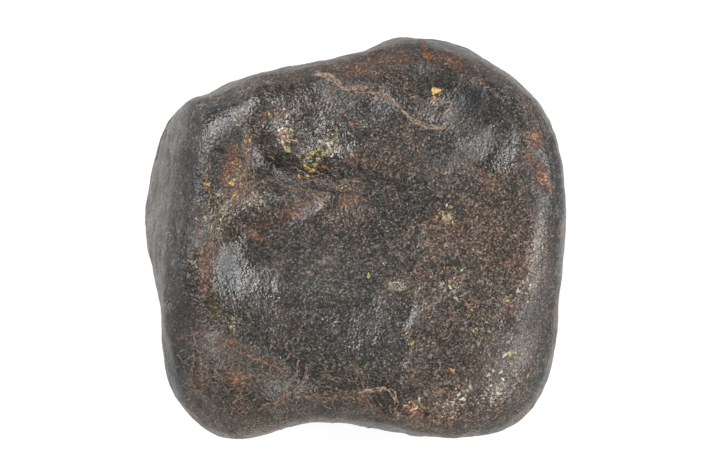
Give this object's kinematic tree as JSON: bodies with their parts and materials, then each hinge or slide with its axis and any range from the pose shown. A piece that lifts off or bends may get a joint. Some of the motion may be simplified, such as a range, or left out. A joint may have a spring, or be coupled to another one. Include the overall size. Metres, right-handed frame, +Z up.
{
  "type": "pallasite meteorite",
  "caption": "Blocky, wind-smoothed stony-iron meteorite with a dished upper face, rounded rims and a small worn flat that it rests on.",
  "frame": {"origin": "under the middle of the stone's bounding box, at the level of the worn flat that it rests on", "axes": "+Z up out of the broad dished face, +X along the stone's longest side, to the right in the picture, +Y towards the picture's upper edge"},
  "size_m": [0.044, 0.0418, 0.028],
  "materials": {
    "weathered_iron": "dark wind-polished iron with rust-brown patches and small olivine grains, satin"
  },
  "bodies": {
    "root": {"meteorite": "weathered_iron"}
  },
  "joints": []
}
